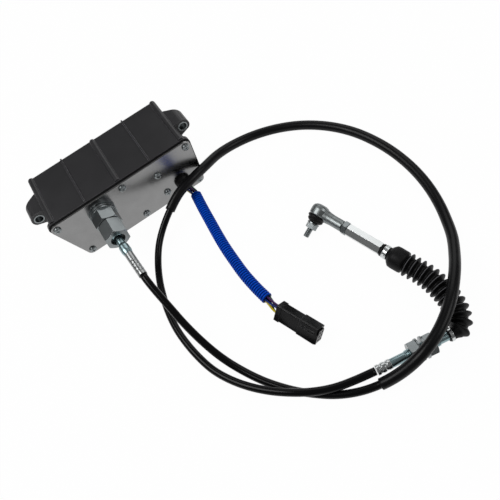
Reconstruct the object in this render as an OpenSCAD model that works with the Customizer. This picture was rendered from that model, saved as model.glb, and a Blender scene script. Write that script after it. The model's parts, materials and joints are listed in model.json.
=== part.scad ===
// Stepper motor actuator with a push-pull control cable and a plug lead.
// Millimetres. X runs along the housing, the cover plate faces -Y, +Z is up.
// The origin is under the middle of the housing and its cable gland, on the
// surface that everything lies on.

/* [Housing] */
// Width of the housing across its top
body_w = 158; // [130:1:165]
// Height of the flange and of the housing behind it
body_h = 68; // [60:1:80]
// Depth from the front of the cover plate to the back of the housing
body_d = 76; // [70:1:95]
// Thickness of the housing wall
wall = 3.2; // [2.4:0.1:4]
// How much the left side draws in towards the bottom
left_taper = 12; // [0:1:16]
// How much the right side draws in towards the bottom
right_taper = 3; // [0:1:10]
// Radius of the housing's long edges
edge_r = 3.5; // [2:0.5:8]
// Half of the width of the rounded stiffening ribs
rib_r = 3.3; // [2:0.1:4]
// How far the rounded ribs stand out
rib_h = 2; // [1:0.1:3]
// Distance from the side of the housing to the middle of an outer rounded rib
rib_inset = 3.3; // [3:0.1:12]
// Width of the thin mould ribs
thin_rib_w = 1.6; // [1:0.1:3]
// Height of the thin mould ribs
thin_rib_h = 1.4; // [0.5:0.1:2]

/* [Cover] */
// Thickness of the steel cover plate
plate_t = 2.5; // [1.5:0.1:4]
// Thickness of the gasket
gasket_t = 1.2; // [0.8:0.1:2]
// Thickness of the housing flange
flange_t = 4.3; // [3:0.1:6]
// Distance from the side of the housing to the outer cover screws
screw_inset = 3; // [1:0.5:6]
// Radius of the flange corners round the cover screws
flange_r = 7.5; // [6:0.25:10]
// Radius of the plate corners round the cover screws
plate_r = 6; // [4.5:0.25:8]
// Thread diameter of the cover screws
screw_d = 4; // [3:0.5:5]

/* [Ears] */
// Distance from the side of the housing to a mounting hole
ear_out = 8.5; // [7.5:0.25:14]
// Distance from the top of the housing down to the mounting holes
ear_drop = 9; // [8:0.5:16]
// Radius of an ear round its hole
ear_r = 8; // [7:0.25:11]
// Length of an ear along its hole
ear_len = 17; // [12:1:24]
// How much further back an ear reaches beside the housing
ear_root = 9.3; // [2:0.1:14]
// Distance from the front of the cover plate to the ears
ear_set = 28; // [20:1:36]
// Outer diameter of the steel bushes
bush_od = 11; // [9.5:0.1:13]
// Hole diameter of the steel bushes
bush_id = 8.5; // [6.5:0.1:9]

/* [Gland] */
// Distance from the middle of the housing to the cable gland
gland_x = -30.5; // [-36:0.5:-26]
// Distance from the top of the housing down to the cable gland
gland_drop = 19; // [17:0.5:23]
// How far the gland stands out of the plate
gland_len = 43; // [36:1:50]
// Thread diameter of the gland
gland_thread = 16; // [14:1:18]
// Size across the flats of the lock nut
gland_nut_af = 24; // [22:1:27]
// Size across the flats of the gland body
gland_body_af = 23; // [20:1:24]
// Diameter of the flange washer
gland_washer_d = 29; // [26:1:32]

/* [Gear train] */
// Gear module
gear_m = 1; // [1:0.05:1]
// Teeth of both small gears
small_n = 14; // [13:1:15]
// Teeth of both large gears
large_n = 42; // [40:1:42]
// Teeth of the gear that drives the rack
rack_gear_n = 16; // [14:2:18]
// Width of the geared part of a wheel
gear_w = 4; // [3:0.5:5]
// Half of the travel of the rack
stroke = 12; // [8:1:12]
// Diameter of the rack bar
rack_d = 8; // [7:0.5:8]
// Diameter of the stepping motor
motor_d = 35; // [28:1:38]
// Height of the stepping motor
motor_h = 19; // [16:1:23]

/* [Cable] */
// Outer diameter of the cable conduit
conduit_d = 7; // [5:0.5:7]
// Outer diameter of the protective sleeve on the cable
sleeve_d = 10.5; // [9:0.5:10.5]
// Diameter of the cable's end tubes
tube_d = 8; // [7:0.5:9]
// Thread diameter of the far tube
far_thread = 10; // [9:1:12]
// Size across the flats of the far lock nuts
far_nut_af = 18; // [16:1:18]

/* [Rod end] */
// Crest diameter of the bellows
bellows_d = 23; // [19:0.5:23]
// Number of folds of the bellows
folds = 14; // [10:1:14]
// Size across the flats of the adjuster
adjuster_af = 11; // [9:0.5:12]
// Length of the adjuster
adjuster_len = 37; // [30:1:38]
// Diameter of the ball
ball_d = 10; // [8:0.5:12]
// Thread diameter of the ball stud
stud_d = 6; // [5:0.5:6]
// Distance from the ball to the tip of its stud
stud_len = 27; // [24:0.5:27]

/* [Plug lead] */
// Outer diameter of the corrugated tube
loom_d = 11.7; // [9:0.1:11.7]
// Outer diameter of one wire
wire_d = 2; // [1.2:0.1:2.2]
// Length of the plug
plug_len = 44; // [38:1:50]
// Narrow width of the plug
plug_w = 12.2; // [11:0.1:14]
// Broad width of the plug
plug_h = 17; // [15:0.5:20]
// Diameter of the grommet in the cover plate
grommet_d = 17.6; // [14:0.1:20]

/* [Hidden] */
$fn = 48;

// Small gap of a press fit, and radial gap of a running fit
press_gap = 0.02;
run_gap = 0.05;
// Gap between loose neighbours
seat_gap = 0.3;

// Depths behind the front of the cover plate
face_y = -17.5;
gasket_at = plate_t;
flange_at = plate_t + gasket_t;
shell_at = flange_at + flange_t;

// Cover screws, counterclockwise seen from the front
row_low = flange_r;
row_high = body_h - flange_r;
screw_x = body_w / 2 - screw_inset;
screw_points = [[-screw_x + left_taper, row_low], [5, row_low], [screw_x - right_taper, row_low],
    [screw_x, row_high], [0, row_high], [-screw_x, row_high]];
corner_points = [screw_points[0], screw_points[2], screw_points[3], screw_points[5]];

// Ribs, mounting holes and gland, from the outside of the housing
rib_x = body_w / 2 - rib_inset;
ear_x = body_w / 2 + ear_out;
ear_z = body_h - ear_drop;
gland_z = body_h - gland_drop;

// Gear train, all shafts along Z
train_set = 32;
train_y = face_y + train_set;
centre_gap = gear_m * (small_n + large_n) / 2;
rack_gear_r = gear_m * rack_gear_n / 2;
rack_pitch_x = gland_x + rack_d / 2 - 1.5;
output_x = rack_pitch_x + rack_gear_r;
idler_x = output_x + centre_gap;
motor_x = idler_x + centre_gap;
low_deck = wall + 1.3 + motor_h;
high_deck = body_h - 12;
deck_t = 2.5;
web_t = 3;
web_low = row_low + screw_d / 2 + 4;
stage_1_z = low_deck + deck_t + 3;
stage_2_z = stage_1_z + gear_w + 3;
shaft_d = 6;
pin_d = 4;
web_left = gland_x - 14;
web_right = motor_x + motor_d / 2 + 1;
deck_back = train_y + gear_m * large_n / 2 + 3;
frame_screw_x = motor_x + 0.5;
frame_screw_z = [18, 48];

// Places of the pieces that lie on the table
start_at = [gland_x, face_y - gland_len + 6, gland_z];
far_at = [93, -298, 10.5];
far_heading = -9.4;
ball_at = [146, -143.9, 14.8];
rod_heading = -73;
rod_pitch = 1.6;
rod_roll = -65;
plug_at = [57.4, -202.9, 11.5];
plug_heading = -69.5;
plug_roll = -38.5;
grommet_at = [body_w / 2 - 22.5, 20];

// Centre line of the whole control cable, one point for each ring of its tubes
route = [[-27.9, -110, 45.05], [-27.7, -114.5, 44.3], [-26.5, -126.5, 40.5], [-23.5, -147.5, 33],
    [-20.5, -167.5, 25], [-16, -187.5, 17], [-10, -206.5, 10], [-2, -224.5, 5.5],
    [9, -244.5, 3.8], [21, -261.5, 3.8], [34, -276, 3.8], [52, -291.5, 4.5], [70, -302, 6.2],
    [89, -308.3, 8], [108, -312, 15.4], [127, -312, 24.4], [146.5, -307, 28.5],
    [165.5, -297.5, 29.5], [182, -285.5, 28.3], [197.5, -271.5, 24], [211, -257, 17.5],
    [223.5, -241, 11.5], [233, -223.5, 7.5], [241, -204.5, 5.6], [246.5, -184.5, 5.4],
    [249.5, -164, 5.4], [250, -143, 5.4], [248, -121.5, 5.4], [243.5, -101, 5.4],
    [236.5, -81, 5.4], [226.5, -62.5, 5.4], [214, -46, 5.4], [199, -31.5, 5.4], [182, -20, 5.6],
    [163.5, -11.5, 6.2], [143.5, -7, 8.2], [122, -7, 12], [103, -12, 17.5], [84.5, -22, 24.5],
    [66, -29, 27.5], [46, -34.5, 26.5], [27, -43, 21], [11, -52.5, 15], [-2.5, -64.5, 10],
    [-13, -79.5, 6.2], [-21, -97, 4.5], [-26.5, -115.5, 3.8], [-30, -134.5, 3.8],
    [-31.5, -153.5, 3.8], [-30.5, -172.5, 3.8], [-27.5, -191.5, 3.8], [-22.5, -210, 4.2],
    [-14.5, -227, 5.6], [-4, -243, 7.6], [8.5, -257.5, 9.8], [22.5, -270, 11.4],
    [38.5, -281, 11.6], [56, -289, 10.4], [74, -294, 10.2], [92.2, -297.8, 10.5]];
sleeve_first = 13;
sleeve_last = 41;

// Centre line of the corrugated tube
loom_route = [[60, -33.5, 8], [57.5, -52.5, 7], [55.5, -71.5, 6.3], [53.5, -90.5, 6],
    [52, -109.5, 6], [51.5, -128.5, 6], [51.5, -147.5, 6], [53, -166.5, 6.2],
    [55.5, -184.5, 6.8]];

// Centre line of the bellows, one point for each fold, from the far tube round to the rod
bellows_route = [[164.4, -309.9, 10.5], [169.2, -308.9, 10.7], [173.6, -305.1, 11.1],
    [176.6, -300, 11.6], [178.8, -294.5, 11.7], [180.4, -288.8, 11.7], [181.3, -282.9, 11.7],
    [181.7, -277, 11.7], [181.7, -271.1, 11.7], [181.4, -265.1, 11.7], [180.6, -259, 11.7],
    [179.3, -253, 11.7], [177.6, -247.3, 11.8], [175.9, -241.7, 12], [174.2, -236.1, 12.1]];

// Outline helpers

function heading(p, q) = atan2(q[1] - p[1], q[0] - p[0]);

// Outline round circles of radius r at the corners c of a convex shape
function round_outline(c, r, steps = 8) = [for (i = [0:len(c) - 1])
    let (before = c[(i + len(c) - 1) % len(c)], after = c[(i + 1) % len(c)],
        first = heading(before, c[i]) - 90,
        turn = (heading(c[i], after) - 90 - first + 720) % 360)
    for (k = [0:steps]) c[i] + r * [cos(first + turn * k / steps), sin(first + turn * k / steps)]];

function box_corners(w, h, r) = [[r - w / 2, r - h / 2], [w / 2 - r, r - h / 2],
    [w / 2 - r, h / 2 - r], [r - w / 2, h / 2 - r]];

// Extrudes an X-Z outline between two depths behind the plate's front
module slab(from, to) {
    translate([0, face_y + to, 0]) rotate([90, 0, 0]) linear_extrude(to - from) children();
}

// Puts a Z axis at an X-Z point of the plate, pointing out of its front
module on_plate(p, depth = 0) {
    translate([p[0], face_y + depth, p[1]]) rotate([90, 0, 0]) children();
}

module tube(d, bore, h) {
    difference() {
        cylinder(d = d, h = h);
        translate([0, 0, -1]) cylinder(d = bore, h = h + 2);
    }
}

// Turned piece along +X from points of radius and place
module turned_x(profile) {
    rotate([0, 90, 0]) rotate_extrude() polygon(profile);
}

// Hexagonal piece along Z with chamfered corners and a bore
module hex_piece(af, h, bore, both_ends = true) {
    corner = af / sqrt(3);
    cut = 0.6 * (corner - af / 2);
    difference() {
        intersection() {
            cylinder(r = corner, h = h, $fn = 6);
            rotate_extrude() polygon([[0, 0], [both_ends ? af / 2 : corner + 1, 0],
                [corner + 0.01, both_ends ? cut : 0], [corner + 0.01, h - cut], [af / 2, h], [0, h]]);
        }
        translate([0, 0, -1]) cylinder(d = bore, h = h + 2);
    }
}

// Pan head screw along -Z with its head above z = 0 and a cross recess
module pan_screw(d, length) {
    head_h = 0.65 * d;
    difference() {
        union() {
            rotate_extrude() polygon([[0, 0], [d, 0], [d, 0.3 * head_h], [0.85 * d, 0.75 * head_h],
                [0.55 * d, head_h], [0, head_h]]);
            translate([0, 0, -length]) cylinder(d = d, h = length + 0.1);
        }
        for (a = [0, 90]) rotate(a)
            translate([-0.55 * d, -0.09 * d, 0.45 * head_h]) cube([1.1 * d, 0.18 * d, head_h]);
    }
}

// Sweep of a round section along a route

function unit(v) = v / norm(v);
function tangent(p, i) = unit(p[min(i + 1, len(p) - 1)] - p[max(i - 1, 0)]);
function ring(c, t, r, sides) = let (s = unit(cross([0, 0, 1], t)), u = cross(t, s))
    [for (k = [0:sides - 1]) c + r * (cos(360 * k / sides) * s + sin(360 * k / sides) * u)];

// Rings first to last of the route p, with one radius for each ring
module sweep(p, radii, first, last, sides) {
    count = last - first + 1;
    points = [for (i = [first:last]) each ring(p[i], tangent(p, i), radii[i - first], sides)];
    walls = [for (i = [0:count - 2]) for (k = [0:sides - 1])
        let (a = i * sides + k, b = i * sides + (k + 1) % sides) [a, a + sides, b + sides, b]];
    ends = [[for (k = [0:sides - 1]) k], [for (k = [sides - 1:-1:0]) (count - 1) * sides + k]];
    polyhedron(points, concat(walls, ends), convexity = 6);
}

// Hollow tube along the whole route p: out over the outer rings, back over the inner ones
module hollow_sweep(p, radii, skin, sides) {
    n = len(p);
    points = [for (i = [0:2 * n - 1]) let (j = i < n ? i : 2 * n - 1 - i)
        each ring(p[j], tangent(p, j), radii[j] - (i < n ? 0 : skin), sides)];
    walls = [for (i = [0:2 * n - 1]) for (k = [0:sides - 1])
        let (a = i * sides, b = (i + 1) % (2 * n) * sides, l = (k + 1) % sides)
        [a + k, b + k, b + l, a + l]];
    polyhedron(points, walls, convexity = 10);
}

module round_cord(p, d, first, last, sides = 8) {
    sweep(p, [for (i = [first:last]) d / 2], first, last, sides);
}

// Housing

// Front view of the housing, drawn in by inset, and at its sides by side too
function body_outline(inset, side = 0) = let (r = max(edge_r - inset, 0.3), m = inset + r,
        x = body_w / 2 - m - side)
    round_outline([[-x + left_taper, m], [x - right_taper, m], [x, body_h - m], [-x, body_h - m]], r);

// Side view of the housing as depth and height, grown by a margin
function side_outline(grow) = let (r = max(edge_r + grow, 0.3), m = r - grow)
    round_outline([[flange_at + m, m], [body_d - m, m], [body_d - m, body_h - m],
        [flange_at + m, body_h - m]], r);

// Extrudes a depth and height outline along X about x = 0
module side_slab(w) {
    translate([-w / 2, face_y, 0]) rotate([90, 0, 90]) linear_extrude(w) children();
}

module shell_form(inset, front) {
    intersection() {
        slab(front, body_d - inset) polygon(body_outline(inset));
        side_slab(2 * body_w) union() {
            polygon(side_outline(-inset));
            translate([front, inset])
                square([body_d / 2 - front, body_h - 2 * inset]);
        }
    }
}

// Straight round bar between two points
module bar(p, q, d) {
    v = q - p;
    translate(p) rotate([0, acos(v[2] / norm(v)), atan2(v[1], v[0])]) cylinder(d = d, h = norm(v));
}

// Rounded rib over the top, round the back edge and down the back, where it moves across by shift
module round_rib(x, shift = 0) {
    sink = rib_r - rib_h;
    top = body_h - sink;
    back = face_y + body_d - sink;
    bend = max(edge_r, rib_r + 0.2);
    foot = 2 * bend;
    at_side = shift * (top - bend - foot) / (body_h - 2 * edge_r);
    translate([x, back - bend, top]) rotate([90, 0, 0])
        cylinder(r = rib_r, h = body_d - sink - bend - flange_at - 1);
    translate([x, back - bend, top - bend]) rotate([90, 0, 90])
        rotate_extrude(angle = 90) translate([bend, 0]) circle(r = rib_r);
    bar([x, back, top - bend], [x + at_side, back, foot], 2 * rib_r);
    for (p = [[x, back, top - bend], [x + at_side, back, foot]])
        translate(p) sphere(r = rib_r);
}

module thin_rib(x) {
    translate([x, 0, 0]) intersection() {
        side_slab(thin_rib_w) polygon(side_outline(thin_rib_h));
        slab(flange_at + 1, body_d + rib_r) translate([-thin_rib_w, wall])
            square([2 * thin_rib_w, body_h]);
    }
}

// One ear with a flat top and a back that slants out to its end, for side = -1 or 1
module ear(side) {
    root = body_w / 2 - 2 * wall;
    back = ear_set + ear_len;
    slant = ear_root / (ear_out + ear_r);
    front_view = concat([[root, ear_z - 1.4 * ear_r], [body_w / 2 + 1, ear_z - 1.4 * ear_r]],
        [for (a = [-45:15:90]) [ear_x + ear_r * cos(a), ear_z + ear_r * sin(a)]],
        [[root, ear_z + ear_r]]);
    top_view = [[root - 1, ear_set - 1], [ear_x + ear_r + 1, ear_set - 1],
        [ear_x + ear_r + 1, back - slant], [body_w / 2, back + ear_root], [root - 1, back + ear_root]];
    intersection() {
        slab(ear_set, back + ear_root + 1) mirror([side < 0 ? 1 : 0, 0]) polygon(front_view);
        translate([0, face_y, ear_z - 2 * ear_r]) linear_extrude(4 * ear_r)
            mirror([side < 0 ? 1 : 0, 0]) polygon(top_view);
    }
}

boss_r = screw_d / 2 + 3;
insert_len = 2.2 * screw_d;

module housing() {
    color([0.07, 0.07, 0.075]) difference() {
        union() {
            shell_form(0, flange_at);
            slab(flange_at, shell_at) polygon(round_outline(corner_points, flange_r));
            round_rib(-rib_x, left_taper);
            round_rib(0);
            round_rib(rib_x, -right_taper);
            for (x = [-rib_x / 2, rib_x / 2]) thin_rib(x);
            for (side = [-1, 1]) ear(side);
            for (p = corner_points) on_plate(p, flange_at + insert_len + 2)
                cylinder(r = boss_r, h = insert_len + 1);
        }
        difference() {
            shell_form(wall, flange_at - 1);
            for (p = screw_points) on_plate(p, flange_at + insert_len + 2)
                cylinder(r = boss_r, h = insert_len + 3);
            for (i = [1, 4]) let (p = screw_points[i], up = p[1] > body_h / 2)
                slab(flange_at - 1, flange_at + insert_len + 2)
                    translate([p[0] - boss_r, up ? p[1] : 0]) square([2 * boss_r, up ? body_h : p[1]]);
        }
        for (p = screw_points) on_plate(p, flange_at + insert_len + 0.5)
            cylinder(d = screw_d + 2, h = insert_len + 1);
        for (side = [-1, 1]) translate([side * ear_x, face_y + ear_set, ear_z]) rotate([-90, 0, 0]) {
            translate([0, 0, -1]) cylinder(d = bush_od, h = ear_len + 2);
            translate([0, 0, ear_len]) cylinder(d = bush_od + 3, h = ear_root + 2);
        }
    }
}

module ear_bushes() {
    color([0.72, 0.72, 0.7]) for (side = [-1, 1])
        translate([side * ear_x, face_y + ear_set - 0.3, ear_z]) rotate([-90, 0, 0])
            tube(bush_od - 2 * press_gap, bush_id, ear_len + 0.6);
}

module cover_inserts() {
    color([0.78, 0.62, 0.3]) for (p = screw_points) on_plate(p, flange_at + insert_len)
        tube(screw_d + 2 - 2 * press_gap, screw_d + 2 * run_gap, insert_len);
}

// Cover

module gasket() {
    color([0.04, 0.04, 0.04]) difference() {
        slab(gasket_at, flange_at) polygon(round_outline(corner_points, flange_r - 0.6));
        slab(gasket_at - 1, flange_at + 1)
            polygon(body_outline(wall, 5));
        for (p = screw_points) on_plate(p, flange_at + 1) cylinder(d = screw_d + 0.8, h = gasket_t + 2);
    }
    color([0.04, 0.04, 0.04]) for (i = [1, 4]) on_plate(screw_points[i], flange_at)
        tube(2 * boss_r, screw_d + 0.8, gasket_t);
}

module cover_plate() {
    color([0.6, 0.6, 0.6]) difference() {
        slab(0, plate_t) polygon(round_outline(corner_points, plate_r));
        for (p = screw_points) on_plate(p, plate_t + 1) cylinder(d = screw_d + 0.6, h = plate_t + 2);
        for (z = frame_screw_z) on_plate([frame_screw_x, z], plate_t + 1)
            cylinder(d = screw_d + 0.6, h = plate_t + 2);
        on_plate([gland_x, gland_z], plate_t + 1) cylinder(d = gland_thread + 0.4, h = plate_t + 2);
        on_plate(grommet_at, plate_t + 1) cylinder(d = grommet_d - 4, h = plate_t + 2);
    }
}

module cover_screws() {
    color([0.7, 0.7, 0.68]) for (p = screw_points) on_plate(p) pan_screw(screw_d, plate_t + 9);
}

module frame_screws() {
    color([0.7, 0.7, 0.68]) for (z = frame_screw_z) on_plate([frame_screw_x, z])
        pan_screw(screw_d, plate_t + web_t + 1);
}

// Gear frame: a folded sheet with a web on the plate and two decks

module deck(z, right, bores) {
    difference() {
        translate([web_left, face_y + plate_t, z])
            cube([right - web_left, deck_back - face_y - plate_t, deck_t]);
        for (b = bores) translate([b[0], train_y, z - 1]) cylinder(d = b[1], h = deck_t + 2);
    }
}

module gear_frame() {
    pin_hole = pin_d + 2 * press_gap;
    bush_hole = shaft_d + 4 + 2 * press_gap;
    color([0.65, 0.66, 0.68]) difference() {
        union() {
            slab(plate_t, plate_t + web_t) translate([web_left, web_low])
                square([web_right - web_left, high_deck + deck_t - web_low]);
            deck(low_deck, web_right, [[output_x, bush_hole], [idler_x, pin_hole], [motor_x, 12]]);
            deck(high_deck, idler_x + 10, [[output_x, bush_hole], [idler_x, pin_hole]]);
        }
        on_plate([gland_x, gland_z], plate_t + web_t + 1)
            cylinder(d = gland_thread + 0.4, h = web_t + 2);
        for (z = frame_screw_z) on_plate([frame_screw_x, z], plate_t + web_t + 1)
            cylinder(d = screw_d + 2 * run_gap, h = web_t + 2);
        on_plate(grommet_at, plate_t + web_t + 1) cylinder(d = grommet_d + 3, h = web_t + 2);
        slab(-1, flange_at + insert_len + 3) translate([-boss_r - 1, row_high - boss_r - 1])
            square([2 * boss_r + 2, body_h]);
        slab(plate_t + web_t, plate_t + web_t + inner_nut_h + 2)
            translate([gland_x - 0.65 * gland_nut_af, gland_z])
            square([1.3 * gland_nut_af, body_h]);
    }
}

module frame_bushes() {
    color([0.72, 0.55, 0.3]) for (z = [low_deck, high_deck])
        translate([output_x, train_y, z]) tube(shaft_d + 4, shaft_d + 2 * run_gap, deck_t);
}

// Stepping motor under the lower deck

rotor_d = 0.56 * motor_d;
motor_wall = 1.2;
motor_base = low_deck - motor_h;

module at_motor(z = 0) {
    translate([motor_x, train_y, motor_base + z]) children();
}

module motor_can() {
    color([0.5, 0.5, 0.52]) at_motor() difference() {
        cylinder(d = motor_d, h = motor_h);
        translate([0, 0, motor_wall + 2]) cylinder(d = motor_d - 2 * motor_wall, h = motor_h);
        translate([0, 0, motor_wall]) cylinder(d = pin_d + 2 * run_gap, h = motor_h);
    }
}

module motor_cap() {
    color([0.6, 0.6, 0.62]) at_motor(motor_h - 2)
        tube(motor_d - 2 * motor_wall - 2 * press_gap, pin_d + 2 * run_gap, 2);
}

module motor_stator() {
    color([0.45, 0.3, 0.2]) at_motor(motor_wall + 2)
        tube(motor_d - 2 * motor_wall - 2 * press_gap, rotor_d + 0.6, motor_h - motor_wall - 4);
}

module motor_rotor() {
    color([0.3, 0.3, 0.32]) at_motor() {
        translate([0, 0, motor_wall + 2.6]) cylinder(d = rotor_d, h = motor_h - motor_wall - 5.2);
        translate([0, 0, motor_wall + 0.2])
            cylinder(d = pin_d, h = stage_1_z + gear_w + 1 - motor_base - motor_wall - 0.2);
    }
}

// Involute gears

pressure = 25;
backlash = 0.3;

function inv(rb, r) = r <= rb ? 0 : tan(acos(rb / r)) * 180 / PI - acos(rb / r);

// Outline of a gear with a tooth on +X, turned by phase
function gear_outline(n, phase = 0) = let (rp = gear_m * n / 2, rb = rp * cos(pressure),
        tip = rp + 0.9 * gear_m, root = rp - 1.15 * gear_m,
        half = 90 / n - backlash / 4 / rp * 180 / PI + inv(rb, rp),
        up = [root, max(root, rb) + 0.05, rp, tip])
    [for (i = [0:n - 1]) let (a = 360 * i / n + phase) each concat(
        [for (r = up) r * [cos(a - half + inv(rb, r)), sin(a - half + inv(rb, r))]],
        [for (k = [3:-1:0]) let (r = up[k]) r * [cos(a + half - inv(rb, r)), sin(a + half - inv(rb, r))]])];

module gear(n, w, bore, phase = 0) {
    difference() {
        linear_extrude(w) polygon(gear_outline(n, phase));
        translate([0, 0, -1]) cylinder(d = bore, h = w + 2);
    }
}

// Large wheel with lightening holes
module wheel(bore, phase = 0) {
    difference() {
        gear(large_n, gear_w, bore, phase);
        for (a = [0:60:300]) rotate(a) translate([gear_m * large_n * 0.29, 0, -1])
            cylinder(d = gear_m * large_n * 0.17, h = gear_w + 2);
    }
}

// Turn that puts a gap between two teeth at -X
function gap_phase(n) = n % 2 == 0 ? 180 / n : 0;

module motor_pinion() {
    color([0.8, 0.65, 0.3]) translate([motor_x, train_y, stage_1_z - 0.5])
        gear(small_n, gear_w + 1, pin_d + 2 * press_gap, gap_phase(small_n));
}

module idler_pin() {
    color([0.7, 0.7, 0.7]) translate([idler_x, train_y, low_deck])
        cylinder(d = pin_d, h = high_deck + deck_t - low_deck);
}

module idler_gear() {
    color([0.85, 0.83, 0.75]) translate([idler_x, train_y, 0]) {
        translate([0, 0, stage_1_z]) wheel(pin_d + 2 * run_gap);
        translate([0, 0, stage_1_z + gear_w])
            gear(small_n, stage_2_z - stage_1_z + 1, pin_d + 2 * run_gap, 180);
        translate([0, 0, low_deck + deck_t + seat_gap])
            tube(pin_d + 4, pin_d + 2 * run_gap, stage_1_z - low_deck - deck_t - seat_gap);
        translate([0, 0, stage_2_z + gear_w + 1])
            tube(pin_d + 4, pin_d + 2 * run_gap, high_deck - seat_gap - stage_2_z - gear_w - 1);
    }
}

module output_shaft() {
    color([0.7, 0.7, 0.72]) translate([output_x, train_y, low_deck - 8])
        cylinder(d = shaft_d, h = high_deck + deck_t - low_deck + 8);
}

module output_wheel() {
    color([0.85, 0.83, 0.75]) translate([output_x, train_y, stage_2_z])
        wheel(shaft_d + 2 * press_gap, 180 / large_n);
}

module rack_gear() {
    color([0.7, 0.7, 0.72]) translate([output_x, train_y, gland_z - rack_d / 2 - 0.5])
        gear(rack_gear_n, rack_d + 1, shaft_d + 2 * press_gap, 180);
}

module position_sensor() {
    color([0.15, 0.3, 0.6]) translate([output_x, train_y, low_deck - 9]) difference() {
        union() {
            cylinder(d = 22, h = 9);
            translate([-7, -15, 0]) cube([14, 8, 5]);
        }
        translate([0, 0, 1]) cylinder(d = shaft_d + 2 * run_gap, h = 9);
    }
}

// Rack bar on the gland's axis with teeth towards the output shaft

rack_front = train_set + 6;
rack_teeth = ceil((stroke + 5.5) / (PI * gear_m));
rack_back = (rack_teeth + 0.5) * PI * gear_m;

module rack() {
    pitch = PI * gear_m;
    add = 0.9 * gear_m;
    ded = 1.15 * gear_m;
    lean = tan(pressure);
    gap = pitch / 4 + backlash / 4;
    color([0.68, 0.68, 0.7]) difference() {
        translate([gland_x, train_y + rack_back, gland_z]) rotate([90, 0, 0])
            cylinder(d = rack_d, h = rack_back + rack_front);
        translate([rack_pitch_x + add, train_y - rack_back + 0.01, gland_z - rack_d])
            cube([rack_d, 2 * rack_back, 2 * rack_d]);
        for (k = [-rack_teeth:rack_teeth]) translate([rack_pitch_x, train_y + k * pitch, gland_z - rack_d])
            linear_extrude(2 * rack_d) polygon([[-ded, -gap + ded * lean], [add + 1, -gap - (add + 1) * lean],
                [add + 1, gap + (add + 1) * lean], [-ded, gap - ded * lean]]);
    }
}

module rack_guide() {
    color([0.9, 0.9, 0.85]) difference() {
        translate([gland_x - rack_d / 2 - 6, train_y - 8, gland_z - rack_d / 2 - 1])
            cube([8, 16, high_deck - gland_z + rack_d / 2 + 1]);
        translate([gland_x, train_y - 9, gland_z]) rotate([-90, 0, 0])
            cylinder(d = rack_d + 2 * run_gap, h = 18);
        translate([gland_x - 2.5, train_y - 9, gland_z]) cube([8, 18, rack_d]);
    }
}

module core_rod() {
    color([0.75, 0.75, 0.76]) translate([gland_x, train_y - rack_front, gland_z])
        rotate([90, 0, 0]) cylinder(d = 4, h = 20);
}

// Cable gland through the plate and the gear frame

washer_h = 2;
lock_washer_h = 1.8;
nut_at = washer_h + lock_washer_h;
nut_h = 18.4;
nut_flange_h = 4.6;
inner_nut_h = 4;
body_hex_at = nut_at + nut_h + 0.8;
body_hex_len = gland_len - body_hex_at;

module at_gland(out = 0) {
    on_plate([gland_x, gland_z], -out) children();
}

module gland_washer() {
    color([0.78, 0.79, 0.8]) at_gland() tube(gland_washer_d, gland_thread + 0.4, washer_h);
}

module gland_lock_washer() {
    color([0.7, 0.71, 0.72]) at_gland(washer_h) difference() {
        tube(gland_washer_d - 2, gland_thread + 0.4, lock_washer_h);
        for (a = [0:30:330]) rotate(a) translate([gland_washer_d / 2 - 2.4, -0.4, -1])
            cube([4, 0.8, lock_washer_h + 2]);
    }
}

// Lock nut with a round flange that has a groove round it
module gland_nut() {
    color([0.75, 0.77, 0.77]) at_gland(nut_at) difference() {
        union() {
            rotate(38) hex_piece(gland_nut_af, nut_h, 1);
            cylinder(d = gland_washer_d - 1, h = nut_flange_h);
        }
        translate([0, 0, -1]) cylinder(d = gland_thread + 2 * run_gap, h = nut_h + 2);
        translate([0, 0, nut_flange_h / 2 - 0.4]) tube(gland_washer_d + 2, gland_washer_d - 3, 0.8);
    }
}

module gland_inner_nut() {
    color([0.75, 0.77, 0.77]) at_gland(-plate_t - web_t - inner_nut_h)
        hex_piece(gland_nut_af, inner_nut_h, gland_thread + 2 * run_gap);
}

module gland_body() {
    color([0.78, 0.8, 0.8]) at_gland() difference() {
        union() {
            translate([0, 0, -plate_t - web_t - inner_nut_h - 0.5])
                cylinder(d = gland_thread, h = body_hex_at + plate_t + web_t + inner_nut_h + 1);
            translate([0, 0, body_hex_at]) rotate(24) hex_piece(gland_body_af, body_hex_len, 1);
        }
        translate([0, 0, -20]) cylinder(d = rack_d + 2 * run_gap, h = 50);
        translate([0, 0, 20]) cylinder(d = 5, h = gland_len);
        translate([0, 0, gland_len - 6]) cylinder(d = gland_body_af - 8, h = 8);
    }
}

// Swivel tube and crimp at the start of the cable

start_run = route[0] - start_at;
start_len = norm(start_run) - 0.3;

module at_start(along = 0) {
    translate(start_at) rotate([0, acos(start_run[2] / norm(start_run)), atan2(start_run[1], start_run[0])])
        translate([0, 0, along]) children();
}

module start_tube() {
    color([0.72, 0.78, 0.76]) at_start(0.6) rotate_extrude() polygon([[2.6, 0], [tube_d / 2 + 1.5, 0],
        [tube_d / 2 + 1.5, 2], [tube_d / 2, 3], [tube_d / 2, 13], [tube_d / 2 + 1.1, 16],
        [tube_d / 2 + 1.2, 22], [tube_d / 2 + 0.4, 26], [2.6, 26]]);
}

module start_crimp() {
    grooves = [for (k = [0:3]) each let (x = start_len - 19.2 + 4.5 * k)
        [[4.35, x], [3.95, x + 0.8], [3.95, x + 1.4], [4.35, x + 2.2]]];
    color([0.8, 0.8, 0.8]) at_start() rotate_extrude() polygon(concat([[0, 26.9], [4.35, 26.9]],
        grooves, [[4.35, start_len], [0, start_len]]));
}

// Control cable

module cable_front() {
    color([0.05, 0.05, 0.05]) round_cord(route, conduit_d, 0, sleeve_first);
}

module cable_sleeve() {
    color([0.07, 0.07, 0.07]) round_cord(route, sleeve_d, sleeve_first, sleeve_last);
}

module cable_rear() {
    color([0.05, 0.05, 0.05]) round_cord(route, conduit_d, sleeve_last, len(route) - 1);
}

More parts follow.
